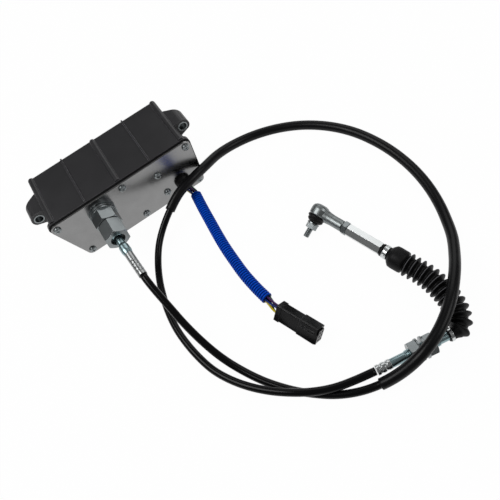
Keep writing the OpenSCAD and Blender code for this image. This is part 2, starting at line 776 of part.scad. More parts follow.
// Far end of the conduit: crimp, threaded tube, two nuts and washers

module at_far(along = 0) {
    translate(far_at) rotate([0, 0, far_heading]) translate([along, 0, 0]) children();
}

far_nut_at = 31;
far_nut_h = 8;
far_washer_h = 1.6;
bracket_gap = 2.8;
far_tube_end = 72;
neck_at = 66;

module far_crimp() {
    color([0.8, 0.8, 0.8]) at_far() turned_x([[0, 0], [4.6, 0], [4.6, 2.5], [4.1, 3.2], [4.1, 4.4],
        [4.6, 5.1], [4.6, 7.5], [4.1, 8.2], [4.1, 9.4], [4.6, 10.1], [4.6, 13], [0, 13]]);
}

module far_tube() {
    thread_end = far_nut_at + 2 * far_nut_h + 2 * far_washer_h + bracket_gap + 1.5;
    color([0.72, 0.76, 0.75]) at_far() turned_x([[2, 13.2], [tube_d / 2, 13.2], [tube_d / 2, 27],
        [far_thread / 2, 28], [far_thread / 2, thread_end], [tube_d / 2, thread_end + 1],
        [tube_d / 2, far_tube_end], [2, far_tube_end]]);
}

module far_nuts() {
    color([0.75, 0.76, 0.76]) for (x = [far_nut_at,
            far_nut_at + far_nut_h + 2 * far_washer_h + bracket_gap])
        at_far(x) rotate([0, 90, 0]) rotate(15) hex_piece(far_nut_af, far_nut_h, far_thread + 2 * run_gap);
}

module far_washers() {
    color([0.78, 0.79, 0.79]) for (x = [far_nut_at + far_nut_h,
            far_nut_at + far_nut_h + far_washer_h + bracket_gap])
        at_far(x) rotate([0, 90, 0]) tube(20, far_thread + 0.6, far_washer_h);
}

// Rod end, with its X axis from the ball towards the bellows and its stud along -Z

module at_rod(along = 0) {
    translate(ball_at) rotate([rod_roll, rod_pitch, rod_heading]) translate([along, 0, 0]) children();
}

adjuster_at = 34;
adjuster_end = adjuster_at + adjuster_len;
ferrule_at = adjuster_end + 3.4;
cuff_at = ferrule_at + 5;
cuff_len = 17;

// Folds: a ring at every root and crest, smaller where the bellows turns off the tube
function on_route(p, u) = let (i = min(floor(u), len(p) - 2)) p[i] + (u - i) * (p[i + 1] - p[i]);
fold_line = [for (k = [0:2 * folds]) on_route(bellows_route, k * (len(bellows_route) - 1) / (2 * folds))];
fold_radii = [for (k = [0:2 * folds]) (k % 2 == 0 ? bellows_d / 2 - 3.2 : bellows_d / 2)
    - (k < 6 ? (6 - k) * 0.22 : 0)];
fold_skin = 1.2;
neck_r = tube_d / 2 + 1.3;

module bellows() {
    color([0.05, 0.05, 0.05]) {
        hollow_sweep(fold_line, fold_radii, fold_skin, 16);
        at_far() turned_x([[tube_d / 2 + run_gap, neck_at], [neck_r + 0.5, neck_at],
            [neck_r + 0.5, neck_at + 0.8], [neck_r, neck_at + 0.8], [neck_r, neck_at + 7],
            [tube_d / 2 + run_gap, neck_at + 7]]);
        at_rod(cuff_at) turned_x([[3.3, 0], [bellows_d / 2 - 5, 0], [bellows_d / 2 - 4, 1.5],
            [bellows_d / 2 - 1.5, 2], [bellows_d / 2 - 0.6, 3.5], [bellows_d / 2 - 0.6, cuff_len - 1],
            [bellows_d / 2 - 2, cuff_len], [bellows_d / 2 - 4.6, cuff_len],
            [bellows_d / 2 - 4.6, 5], [3.3, 5]]);
    }
}

module bellows_clamp() {
    color([0.7, 0.7, 0.7]) at_far(neck_at + 0.9) rotate([0, 90, 0])
        tube(2 * neck_r + 1.6, 2 * neck_r + 0.1, 2.7);
}

module core_wire() {
    inside = [for (s = [8, 0]) far_at + [(far_tube_end - s - 1) * cos(far_heading),
        (far_tube_end - s - 1) * sin(far_heading), 0]];
    line = concat(inside, [for (i = [1:2:len(bellows_route) - 1]) bellows_route[i]],
        [[171.6, -227.6, 12.3]]);
    color([0.6, 0.6, 0.6]) round_cord(line, 2.8, 0, len(line) - 1);
}

module rod_sleeve() {
    socket_at = adjuster_end + 3;
    color([0.75, 0.76, 0.77]) at_rod() difference() {
        turned_x([[0, adjuster_end - 12], [2.6, adjuster_end - 12], [3.2, adjuster_end - 11],
            [3.2, cuff_at + cuff_len + 4], [0, cuff_at + cuff_len + 4]]);
        translate([socket_at, 0, 0]) rotate([0, 90, 0]) cylinder(d = 4.4, h = 60);
    }
}

module rod_ring() {
    color([0.04, 0.04, 0.04]) at_rod(adjuster_end + 0.4) turned_x([[3.25, 0], [5.6, 0], [6.2, 0.8],
        [6.2, 1.8], [5.6, 2.6], [3.25, 2.6]]);
}

module rod_ferrule() {
    color([0.78, 0.78, 0.78]) at_rod(ferrule_at) difference() {
        turned_x([[3.25, 0], [6.4, 0], [6.7, 0.4], [6.7, 4.2], [6.4, 4.6], [3.25, 4.6]]);
        for (a = [0:30:330]) rotate([a, 0, 0]) translate([0.8, 6.3, -0.5]) cube([3, 1, 1]);
    }
}

module adjuster() {
    color([0.85, 0.86, 0.87]) at_rod(adjuster_at) difference() {
        rotate([0, 90, 0]) rotate(20) hex_piece(adjuster_af, adjuster_len, stud_d + 2 * run_gap);
        translate([adjuster_len - 13, 0, 0]) rotate([0, 90, 0]) cylinder(d = 6.5, h = 14);
    }
}

module jam_nut() {
    color([0.75, 0.76, 0.76]) at_rod(adjuster_at - 5.3) rotate([0, 90, 0]) rotate(20)
        hex_piece(adjuster_af + 1, 5, stud_d + 2 * run_gap);
}

// Forged ball housing with a shank and a threaded end

seat_d = ball_d + 3;
head = seat_d / 2 + 2.8;
collar_r = stud_d / 2 + 1.4;

module ball_housing() {
    color([0.55, 0.56, 0.56]) at_rod() difference() {
        union() {
            rotate_extrude() polygon([[0, -3.5], [head - 0.8, -3.5], [head, -2.5], [head, 3.5],
                [head - 1, 5.8], [head - 3.2, 7.4], [head - 6, 8.2], [0, 8.2]]);
            turned_x([[0, 5], [7, 5], [5.9, 11], [5.5, 16], [5.5, adjuster_at - 6.8],
                [4.9, adjuster_at - 6], [stud_d / 2, adjuster_at - 6],
                [stud_d / 2, adjuster_at + 14], [0, adjuster_at + 14]]);
        }
        sphere(d = seat_d + 2 * run_gap);
        translate([0, 0, -15.5]) cylinder(r = head + 0.4, h = 12);
    }
}

module ball_seat() {
    color([0.9, 0.9, 0.88]) at_rod() difference() {
        sphere(d = seat_d);
        sphere(d = ball_d + 2 * run_gap);
        translate([0, 0, -seat_d]) cylinder(d = 2 * seat_d, h = seat_d - 3);
    }
}

module ball_stud() {
    color([0.72, 0.73, 0.74]) at_rod() union() {
        sphere(d = ball_d);
        rotate_extrude() polygon([[0, 0], [ball_d / 4, 0], [ball_d / 4, -7.5], [collar_r, -9.5],
            [collar_r, -11.2], [stud_d / 2, -11.2], [stud_d / 2, 0.7 - stud_len],
            [stud_d / 2 - 0.7, -stud_len], [0, -stud_len]]);
    }
}

module dust_boot() {
    color([0.06, 0.06, 0.06]) at_rod() rotate_extrude() polygon([[head - 3.2, -3.8], [head - 0.4, -3.8],
        [head - 0.1, -4.6], [head - 0.2, -5.8], [head - 1.6, -6.9], [head - 1.1, -7.9], [head - 1.5, -8.9],
        [collar_r + 1.9, -10.3], [collar_r + 1, -10.9], [collar_r + 0.2, -10.9], [collar_r + 0.2, -10],
        [collar_r + 1.2, -9.3], [head - 2.8, -8.4], [head - 2.9, -6.9], [head - 1.6, -5.5],
        [head - 1.6, -4.9], [head - 3.2, -4.9]]);
}

module stud_washer() {
    color([0.78, 0.79, 0.79]) at_rod() translate([0, 0, -12.5]) tube(stud_d + 6.4, stud_d + 0.5, 1.2);
}

module stud_nut() {
    color([0.75, 0.76, 0.76]) at_rod() translate([0, 0, -17.6])
        rotate(10) hex_piece(stud_d * 5 / 3, 5, stud_d + 2 * run_gap);
}

// Plug lead

module grommet() {
    neck = (grommet_d - 4) / 2 - press_gap;
    color([0.04, 0.04, 0.04]) on_plate(grommet_at) difference() {
        rotate_extrude() polygon([[0, -plate_t - 2], [neck + 1.5, -plate_t - 2], [neck + 1.5, -plate_t],
            [neck, -plate_t], [neck, 0], [grommet_d / 2, 0], [grommet_d / 2, 3], [grommet_d / 2 - 2, 5.5],
            [grommet_d / 2 - 3.5, grommet_out], [0, grommet_out]]);
        for (k = [0:4]) translate(wire_circle * [cos(72 * k), sin(72 * k), 0] - [0, 0, plate_t + 3])
            cylinder(d = wire_d + 2 * run_gap, h = plate_t + 12);
    }
}

wire_circle = 3.1;
recess = 4;
grommet_out = 8;
function on_circle(c, k, r) = c + r * [cos(72 * k), 0, sin(72 * k)];

// Point of the plug's own frame in the model
function in_plug(v) = let (a = plug_roll, h = plug_heading, y = v[1] * cos(a) - v[2] * sin(a))
    plug_at + [v[0] * cos(h) - y * sin(h), v[0] * sin(h) + y * cos(h), v[1] * sin(a) + v[2] * cos(a)];

// Wire number k, seen at both ends of the corrugated tube
module wire_stubs(k) {
    last = len(loom_route) - 1;
    mouth = [grommet_at[0], face_y - grommet_out, grommet_at[1]];
    bend = [for (c = [mouth + [0, grommet_out + plate_t + 1, 0], mouth, loom_route[0] + [0, 0.6, 0]])
        on_circle(c, k, wire_circle)];
    round_cord(bend, wire_d, 0, 2);
    bar(on_circle(loom_route[last] - [0, 0.9, 0], k, wire_circle),
        in_plug([recess - seat_gap, 1.6 * cos(72 * k), 4 * sin(72 * k)]), wire_d);
}

module yellow_wire() { color([0.75, 0.65, 0.05]) wire_stubs(3); }
module blue_wire() { color([0.05, 0.1, 0.4]) wire_stubs(2); }
module violet_wire() { color([0.25, 0.05, 0.3]) wire_stubs(1); }
module green_wire() { color([0.05, 0.3, 0.12]) wire_stubs(0); }
module black_wire() { color([0.05, 0.05, 0.05]) wire_stubs(4); }

module loom() {
    color([0.02, 0.12, 0.62]) round_cord(loom_route, loom_d, 0, len(loom_route) - 1, 12);
}

// Plug frame: X from its wire end to its mouth
module at_plug(along = 0) {
    translate(plug_at) rotate([plug_roll, 0, plug_heading]) translate([along, 0, 0]) children();
}

module plug_block(w, h, from, to) {
    translate([from, 0, 0]) rotate([90, 0, 90]) linear_extrude(to - from)
        polygon(round_outline(box_corners(w, h, 1.2), 1.2, 3));
}

module plug_shell() {
    color([0.06, 0.06, 0.065]) at_plug() difference() {
        union() {
            plug_block(plug_w - 1.2, plug_h - 1.2, 0, plug_len);
            plug_block(plug_w, plug_h, 0, 5);
            plug_block(plug_w, plug_h, plug_len - 19, plug_len);
            for (z = [1.5, 3.7]) translate([plug_len - 17, -plug_w / 2 - 0.5, z]) cube([15, 1, 0.8]);
            translate([plug_len - 3, -plug_w / 2, 1.5 - plug_h / 2]) cube([4.8, 1.7, plug_h / 2 + 1.5]);
        }
        plug_block(plug_w - 3.6, plug_h - 3.6, -1, plug_len + 1);
    }
}

module plug_core() {
    color([0.1, 0.1, 0.1]) at_plug() difference() {
        plug_block(plug_w - 3.7, plug_h - 3.7, recess, plug_len + 1.5);
        for (y = [-2, 2]) for (z = [-4, 0, 4]) translate([plug_len - 8, y, z])
            rotate([0, 90, 0]) cylinder(d = 2.2, h = 12);
    }
}

housing();
ear_bushes();
cover_inserts();
gasket();
cover_plate();
cover_screws();
frame_screws();
gear_frame();
frame_bushes();
motor_can();
motor_cap();
motor_stator();
motor_rotor();
motor_pinion();
idler_pin();
idler_gear();
output_shaft();
output_wheel();
rack_gear();
position_sensor();
rack();
rack_guide();
core_rod();
gland_washer();
gland_lock_washer();
gland_nut();
gland_body();
gland_inner_nut();
start_tube();
start_crimp();
cable_front();
cable_sleeve();
cable_rear();
far_crimp();
far_tube();
far_nuts();
far_washers();
bellows_clamp();
bellows();
core_wire();
rod_sleeve();
rod_ferrule();
rod_ring();
adjuster();
jam_nut();
ball_housing();
ball_seat();
ball_stud();
dust_boot();
stud_washer();
stud_nut();
grommet();
yellow_wire();
blue_wire();
violet_wire();
green_wire();
black_wire();
loom();
plug_shell();
plug_core();
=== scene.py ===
import json
import math

import bpy
import numpy as np
from bpy.props import FloatProperty, FloatVectorProperty, IntProperty, PointerProperty
from mathutils import Matrix, Vector


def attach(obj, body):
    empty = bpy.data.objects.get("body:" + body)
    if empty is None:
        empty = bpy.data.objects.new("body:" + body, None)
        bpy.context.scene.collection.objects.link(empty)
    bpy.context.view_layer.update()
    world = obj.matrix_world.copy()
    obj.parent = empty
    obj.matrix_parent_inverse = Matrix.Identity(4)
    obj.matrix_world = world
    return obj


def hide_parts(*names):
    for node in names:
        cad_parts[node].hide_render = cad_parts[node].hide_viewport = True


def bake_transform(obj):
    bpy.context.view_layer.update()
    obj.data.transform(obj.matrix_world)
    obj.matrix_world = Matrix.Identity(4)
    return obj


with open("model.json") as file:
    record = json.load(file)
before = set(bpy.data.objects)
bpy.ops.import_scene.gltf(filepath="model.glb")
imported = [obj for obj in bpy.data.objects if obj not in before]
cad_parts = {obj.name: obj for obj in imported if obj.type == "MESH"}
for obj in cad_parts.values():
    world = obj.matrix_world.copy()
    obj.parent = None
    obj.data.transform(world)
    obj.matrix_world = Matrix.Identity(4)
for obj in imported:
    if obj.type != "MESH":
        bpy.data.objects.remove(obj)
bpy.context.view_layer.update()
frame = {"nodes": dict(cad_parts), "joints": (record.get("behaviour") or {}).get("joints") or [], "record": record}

bl_info = {
    "name": "Stepper motor actuator",
    "version": (1, 0, 0),
    "blender": (4, 5, 0),
    "location": "3D View > Sidebar > Actuator",
    "description": "Finishes, cables and boots of a stepper motor actuator",
    "category": "Object",
}

MM = 0.001

# Bodies that the pieces made here ride
ACTUATOR = "actuator"
STUD = "stud"

# Places in the model, in metres
CABLE_ROUTE = [
    (-0.0279, -0.11, 0.04505), (-0.0277, -0.1145, 0.0443), (-0.0265, -0.1265, 0.0405),
    (-0.0235, -0.1475, 0.033), (-0.0205, -0.1675, 0.025), (-0.016, -0.1875, 0.017),
    (-0.01, -0.2065, 0.01), (-0.002, -0.2245, 0.0055), (0.009, -0.2445, 0.0038),
    (0.021, -0.2615, 0.0038), (0.034, -0.276, 0.0038), (0.052, -0.2915, 0.0045),
    (0.07, -0.302, 0.0062), (0.089, -0.3083, 0.008), (0.108, -0.312, 0.0154),
    (0.127, -0.312, 0.0244), (0.1465, -0.307, 0.0285), (0.1655, -0.2975, 0.0295),
    (0.182, -0.2855, 0.0283), (0.1975, -0.2715, 0.024), (0.211, -0.257, 0.0175),
    (0.2235, -0.241, 0.0115), (0.233, -0.2235, 0.0075), (0.241, -0.2045, 0.0056),
    (0.2465, -0.1845, 0.0054), (0.2495, -0.164, 0.0054), (0.25, -0.143, 0.0054),
    (0.248, -0.1215, 0.0054), (0.2435, -0.101, 0.0054), (0.2365, -0.081, 0.0054),
    (0.2265, -0.0625, 0.0054), (0.214, -0.046, 0.0054), (0.199, -0.0315, 0.0054),
    (0.182, -0.02, 0.0056), (0.1635, -0.0115, 0.0062), (0.1435, -0.007, 0.0082),
    (0.122, -0.007, 0.012), (0.103, -0.012, 0.0175), (0.0845, -0.022, 0.0245),
    (0.066, -0.029, 0.0275), (0.046, -0.0345, 0.0265), (0.027, -0.043, 0.021),
    (0.011, -0.0525, 0.015), (-0.0025, -0.0645, 0.01), (-0.013, -0.0795, 0.0062),
    (-0.021, -0.097, 0.0045), (-0.0265, -0.1155, 0.0038), (-0.03, -0.1345, 0.0038),
    (-0.0315, -0.1535, 0.0038), (-0.0305, -0.1725, 0.0038), (-0.0275, -0.1915, 0.0038),
    (-0.0225, -0.21, 0.0042), (-0.0145, -0.227, 0.0056), (-0.004, -0.243, 0.0076),
    (0.0085, -0.2575, 0.0098), (0.0225, -0.27, 0.0114), (0.0385, -0.281, 0.0116),
    (0.056, -0.289, 0.0104), (0.074, -0.294, 0.0102), (0.0922, -0.2978, 0.0105),
]
LOOM_ROUTE = [
    (0.06, -0.0335, 0.008), (0.0575, -0.0525, 0.007), (0.0555, -0.0715, 0.0063),
    (0.0535, -0.0905, 0.006), (0.052, -0.1095, 0.006), (0.0515, -0.1285, 0.006),
    (0.0515, -0.1475, 0.006), (0.053, -0.1665, 0.0062), (0.0555, -0.1845, 0.0068),
]
BOOT_ROUTE = [
    (0.1644, -0.3099, 0.0105), (0.1692, -0.3089, 0.0107), (0.1736, -0.3051, 0.0111),
    (0.1766, -0.3, 0.0116), (0.1788, -0.2945, 0.0117), (0.1804, -0.2888, 0.0117),
    (0.1813, -0.2829, 0.0117), (0.1817, -0.277, 0.0117), (0.1817, -0.2711, 0.0117),
    (0.1814, -0.2651, 0.0117), (0.1806, -0.259, 0.0117), (0.1793, -0.253, 0.0117),
    (0.1776, -0.2473, 0.0118), (0.1759, -0.2417, 0.012), (0.1742, -0.2361, 0.0121),
]
GROMMET_MOUTH = (0.0565, -0.0255, 0.02)
PLUG_REAR = (0.0574, -0.2029, 0.0115)
BULKHEAD_START = (0.093, -0.298, 0.0105)

# Points of the cable's route at the ends of its sleeve
SLEEVE_FIRST, SLEEVE_LAST = 13, 41

# Turns in degrees: headings about Z, and the plug's roll about its own axis
PLUG_HEADING = -69.5
PLUG_ROLL = -38.5
BULKHEAD_HEADING = -9.4

# The bellows' line before and after its route: millimetres along the bulkhead tube and the rod end
NECK_POINTS = (66, 69, 71)
CUFF_POINTS = (92, 86, 79.4)

# Depths below a thread's crest as shares of its pitch: of the thread, and of the core that carries it
THREAD_DEPTH = 0.6
CORE_DEPTH = 0.65

# Insulation of the five wires, in their order round the lead
WIRE_COLOURS = {
    "green": (0.006, 0.07, 0.03),
    "violet": (0.045, 0.012, 0.075),
    "blue": (0.006, 0.02, 0.13),
    "yellow": (0.62, 0.5, 0.015),
    "black": (0.006, 0.006, 0.006),
}

# Pieces that look unlike the rest of their slot: bluish tubes and a duller crimp
OWN_FINISH = {"start_tube": "blue_zinc", "bulkhead_tube": "blue_zinc", "bulkhead_thread": "blue_zinc",
    "start_crimp": "dull_steel"}

# Camera, solved from the picture's own perspective
CAMERA_PLACE = (0.02238, -0.41137, 0.47074)
CAMERA_RIGHT = (0.82369, -0.51832, -0.22994)
CAMERA_DOWN = (-0.56018, -0.68094, -0.47173)
CAMERA_LENS = 39.54
CAMERA_SENSOR = 36.0

# Each lamp's name, place, target and size in metres, and share of the key lamp's power
LAMPS = [
    ("key", (-0.55, 0.15, 1.1), (0.05, -0.12, 0.0), 0.7, 1.0),
    ("fill", (0.9, -0.7, 0.9), (0.05, -0.12, 0.0), 0.6, 0.4),
    ("rim", (0.87, 0.76, 0.79), (0.1, -0.1, 0.0), 1.05, 0.5),
]

# Half the length of the floor's sides, in metres
FLOOR_HALF = 6.0


class ActuatorSizes(bpy.types.PropertyGroup):
    conduit_d: FloatProperty(name="Conduit", description="Outer diameter of the cable conduit",
        default=0.0072, unit="LENGTH", subtype="DISTANCE")
    sleeve_d: FloatProperty(name="Sleeve", description="Outer diameter of the protective sleeve",
        default=0.0103, unit="LENGTH", subtype="DISTANCE")
    loom_d: FloatProperty(name="Corrugated tube", description="Outer diameter of the corrugated tube",
        default=0.0116, unit="LENGTH", subtype="DISTANCE")
    loom_pitch: FloatProperty(name="Corrugation", description="Distance between two corrugations",
        default=0.0027, unit="LENGTH", subtype="DISTANCE")
    wire_d: FloatProperty(name="Wire", description="Outer diameter of one wire",
        default=0.0021, unit="LENGTH", subtype="DISTANCE")
    boot_d: FloatProperty(name="Boot", description="Crest diameter of the bellows",
        default=0.0228, unit="LENGTH", subtype="DISTANCE")
    boot_folds: IntProperty(name="Folds", description="Number of folds of the bellows", default=14)
    stud_d: FloatProperty(name="Stud", description="Thread diameter of the ball stud",
        default=0.006, unit="LENGTH", subtype="DISTANCE")
    bulkhead_d: FloatProperty(name="Bulkhead", description="Thread diameter of the bulkhead tube",
        default=0.01, unit="LENGTH", subtype="DISTANCE")


class ActuatorColours(bpy.types.PropertyGroup):
    moulding: FloatVectorProperty(name="Housing", description="Colour of the moulded housing",
        default=(0.0125, 0.0122, 0.0138), size=3, subtype="COLOR")
    plate: FloatVectorProperty(name="Cover plate", description="Colour of the cover plate",
        default=(0.25, 0.25, 0.25), size=3, subtype="COLOR")
    zinc: FloatVectorProperty(name="Zinc", description="Colour of the zinc-plated pieces",
        default=(0.23, 0.25, 0.255), size=3, subtype="COLOR")
    loom: FloatVectorProperty(name="Corrugated tube", description="Colour of the corrugated tube",
        default=(0.0, 0.06, 0.5), size=3, subtype="COLOR")
    rubber: FloatVectorProperty(name="Rubber", description="Colour of the rubber pieces",
        default=(0.003, 0.003, 0.0032), size=3, subtype="COLOR")


class ActuatorStage(bpy.types.PropertyGroup):
    floor: FloatVectorProperty(name="Floor", description="Colour of the floor",
        default=(0.85, 0.85, 0.85), size=3, subtype="COLOR")
    whiteness: FloatProperty(name="Whiteness", description="Share of plain white in the floor as seen",
        default=0.98, min=0.0, max=1.0, subtype="FACTOR")
    key: FloatProperty(name="Key lamp", description="Power of the key lamp", default=9.0, unit="POWER")
    world: FloatProperty(name="World", description="Strength of the light from all round", default=0.16)


class Signal:
    """A shader socket that takes part in arithmetic: each operation adds its Math node."""

    def __init__(self, maker, socket):
        self.maker = maker
        self.socket = socket

    def _math(self, operation, first, second):
        return self.maker.node("ShaderNodeMath", {"operation": operation}, {0: first, 1: second})

    def __add__(self, other):
        return self._math("ADD", self, other)

    __radd__ = __add__

    def __sub__(self, other):
        return self._math("SUBTRACT", self, other)

    def __rsub__(self, other):
        return self._math("SUBTRACT", other, self)

    def __mul__(self, other):
        return self._math("MULTIPLY", self, other)

    __rmul__ = __mul__


class NodeMaker:
    """Adds nodes to one tree."""

    def __init__(self, tree):
        self.tree = tree

    def node(self, kind, settings=None, inputs=None, output=0):
        """Adds a node, with its settings first, then the values or links of its inputs."""
        node = self.tree.nodes.new(kind)
        for name, value in (settings or {}).items():
            setattr(node, name, value)
        for key, value in (inputs or {}).items():
            if isinstance(value, Signal):
                self.tree.links.new(value.socket, node.inputs[key])
            else:
                node.inputs[key].default_value = value
        return Signal(self, node.outputs[output])


class Finish(NodeMaker):
    """One material, built node by node around a Principled shader."""

    def __init__(self, name, **constants):
        self.material = bpy.data.materials.new(name)
        self.material.use_nodes = True
        super().__init__(self.material.node_tree)
        self.shader = self.tree.nodes["Principled BSDF"]
        self.place = None
        self.rounding = None
        for socket, value in constants.items():
            self.shader.inputs[socket.replace("_", " ")].default_value = value

    def where(self):
        """The surface's own place in the model, in metres, which stays with the piece as it moves."""
        if self.place is None:
            self.place = self.node("ShaderNodeTexCoord", output="Object")
        return self.place

    def measure(self, name):
        """A number that the piece's mesh carries for each point."""
        return self.node("ShaderNodeAttribute", {"attribute_name": name}, output="Fac")

    def noise(self, scale, detail=3.0, roughness=0.55, stretch=None):
        """Noise over the piece, drawn out along the axes where stretch is under 1."""
        place = self.where()
        if stretch:
            place = self.node("ShaderNodeVectorMath", {"operation": "MULTIPLY"}, {0: place, 1: stretch})
        return self.node("ShaderNodeTexNoise", {}, {"Vector": place, "Scale": scale,
            "Detail": detail, "Roughness": roughness}, output="Fac")

    def ramp(self, value, low, high):
        """A straight ramp. Each of its ends is a value and the result for it."""
        return self.node("ShaderNodeMapRange", {"clamp": True}, {"Value": value,
            "From Min": low[0], "From Max": high[0], "To Min": low[1], "To Max": high[1]})

    def blend(self, factor, first, second):
        """A mix of two colours, from the first at 0 to the second at 1."""
        return self.node("ShaderNodeMix", {"data_type": "RGBA"}, {"Factor": factor,
            "A": opaque(first), "B": opaque(second)}, output="Result")

    def soften(self, edge):
        """Rounds the edges as seen, and gives how near an edge each point is, from 0 to 1."""
        self.rounding = self.node("ShaderNodeBevel", {"samples": 6}, {"Radius": edge})
        flat = self.node("ShaderNodeNewGeometry", output="Normal")
        match = self.node("ShaderNodeVectorMath", {"operation": "DOT_PRODUCT"},
            {0: self.rounding, 1: flat}, output="Value")
        return self.ramp(match, low=(0.75, 1.0), high=(0.98, 0.0))

    def bump(self, height, depth, strength=0.5):
        """Relief as seen, laid over the softened edges where there are any."""
        inputs = {"Height": height, "Distance": depth, "Strength": strength}
        if self.rounding:
            inputs["Normal"] = self.rounding
        self.link("Normal", self.node("ShaderNodeBump", {}, inputs))

    def link(self, socket, value):
        """Feeds a socket of the shader."""
        self.tree.links.new(value.socket, self.shader.inputs[socket])


def opaque(colour):
    """A colour with full alpha, for a socket. A Signal already has one."""
    return colour if isinstance(colour, Signal) else (*colour[:3], 1.0)


def tones(colour, *factors):
    """Darker and lighter tones of a colour, one for each factor."""
    return [tuple(min(1.0, part * factor) for part in colour) for factor in factors]


def moulded_plastic(name, colour, rough=0.4, shine=0.5, grain=0.00002, edge=0.0007):
    """Satin moulded plastic with a fine grain, slow changes of gloss, and a painted highlight along its edges."""
    finish = Finish(name, IOR=1.5, Specular_IOR_Level=shine)
    patches = finish.noise(28.0, detail=4.0)
    fine = finish.noise(2600.0, detail=2.0)
    dark, light, edge_highlight = tones(colour, 0.8, 1.25, 10.0)
    skin = finish.blend(patches, dark, light)
    # Painted highlight: near every edge and rib the colour is ten times lighter.
    finish.link("Base Color", finish.blend(finish.soften(edge), skin, edge_highlight))
    finish.link("Roughness", rough + 0.12 * (patches - 0.5) + 0.06 * (fine - 0.5))
    finish.bump(fine, grain, strength=0.6)
    return finish.material


def metal(name, colour, rough, mottle=0.1, scratch=0.05, edge=0.0003, depth=0.00001):
    """Plated or machined metal: mottled tone, fine scratches, and soft edges with a painted highlight."""
    finish = Finish(name, Metallic=1.0)
    patches = finish.noise(70.0, detail=5.0)
    scratches = finish.noise(900.0, detail=4.0, roughness=0.7, stretch=(1.0, 0.12, 0.5))
    dark, light, edge_highlight = tones(colour, 1.0 - mottle, 1.0 + 0.5 * mottle, 1.5)
    skin = finish.blend(finish.ramp(patches, low=(0.3, 0.0), high=(0.7, 1.0)), dark, light)
    # Painted highlight: near the edges the colour is half as light again.
    finish.link("Base Color", finish.blend(finish.soften(edge), skin, edge_highlight))
    finish.link("Roughness", rough + 0.25 * mottle * (patches - 0.5) + scratch * scratches)
    finish.bump(scratches, depth)
    return finish.material


def forged_metal(name, colour):
    """Forged and plated metal with a pitted skin and soft edges with a painted highlight."""
    finish = Finish(name, Metallic=1.0)
    pits = finish.noise(700.0, detail=5.0, roughness=0.6)
    broad = finish.noise(120.0)
    dark, light, edge_highlight = tones(colour, 0.85, 1.1, 1.4)
    skin = finish.blend(finish.ramp(pits, low=(0.35, 0.0), high=(0.65, 1.0)), dark, light)
    # Painted highlight: near the edges the colour is 1.4 times lighter.
    finish.link("Base Color", finish.blend(finish.soften(edge=0.0006), skin, edge_highlight))
    finish.link("Roughness", 0.4 + 0.15 * (pits - 0.5))
    finish.bump(0.6 * pits + 0.4 * broad, depth=0.0001)
    return finish.material


def rubber(name, colour):
    """Moulded rubber with a dry, slightly dusty skin and a painted highlight along its crests."""
    finish = Finish(name, IOR=1.5, Specular_IOR_Level=0.17)
    dust = finish.noise(90.0, detail=6.0, roughness=0.65)
    fine = finish.noise(3200.0, detail=2.0)
    dusty, crest_highlight = tones(colour, 2.2, 36.0)
    skin = finish.blend(finish.ramp(dust, low=(0.45, 0.0), high=(0.8, 1.0)), colour, dusty)
    # Painted highlight: the widest rings, the crests of the folds, are painted far lighter.
    crest = finish.ramp(finish.measure("proud"), low=(0.965, 0.0), high=(1.0, 1.0))
    finish.link("Base Color", finish.blend(crest, skin, crest_highlight))
    finish.link("Roughness", 0.5 + 0.25 * (dust - 0.5))
    finish.bump(fine, depth=0.00003)
    return finish.material


def jacket(name, colour, rough=0.35, ripple=0.00006, shine=0.25, valley=1.0):
    """Extruded jacket of a wire, tube or sleeve, with drag marks along it. Where a piece is
    narrower, as in a corrugated tube's valleys, it takes the share valley of its colour as painted shade."""
    finish = Finish(name, IOR=1.5, Specular_IOR_Level=shine)
    along_scale = 9.0
    spot = finish.node("ShaderNodeCombineXYZ", {}, {0: along_scale * finish.measure("along"),
        1: finish.measure("around")})
    drag = finish.node("ShaderNodeTexNoise", {}, {"Vector": spot, "Scale": 6.0, "Detail": 5.0},
        output="Fac")
    fine = finish.noise(1800.0, detail=2.0)
    dark, light, valley_shade = tones(colour, 0.75, 1.35, valley)
    skin = finish.blend(drag, dark, light)
    # Painted shade: narrower rings, the valleys, are darker.
    crest = finish.ramp(finish.measure("proud"), low=(0.8, 0.0), high=(0.98, 1.0))
    finish.link("Base Color", finish.blend(crest, valley_shade, skin))
    finish.link("Roughness", rough + 0.16 * (drag - 0.5))
    finish.bump(drag + 0.2 * fine, ripple)
    return finish.material


def record_slots():
    """The material slot of each node, from the record."""
    return {part["node"]: part["material_slot"] for part in frame["record"]["subparts"]}


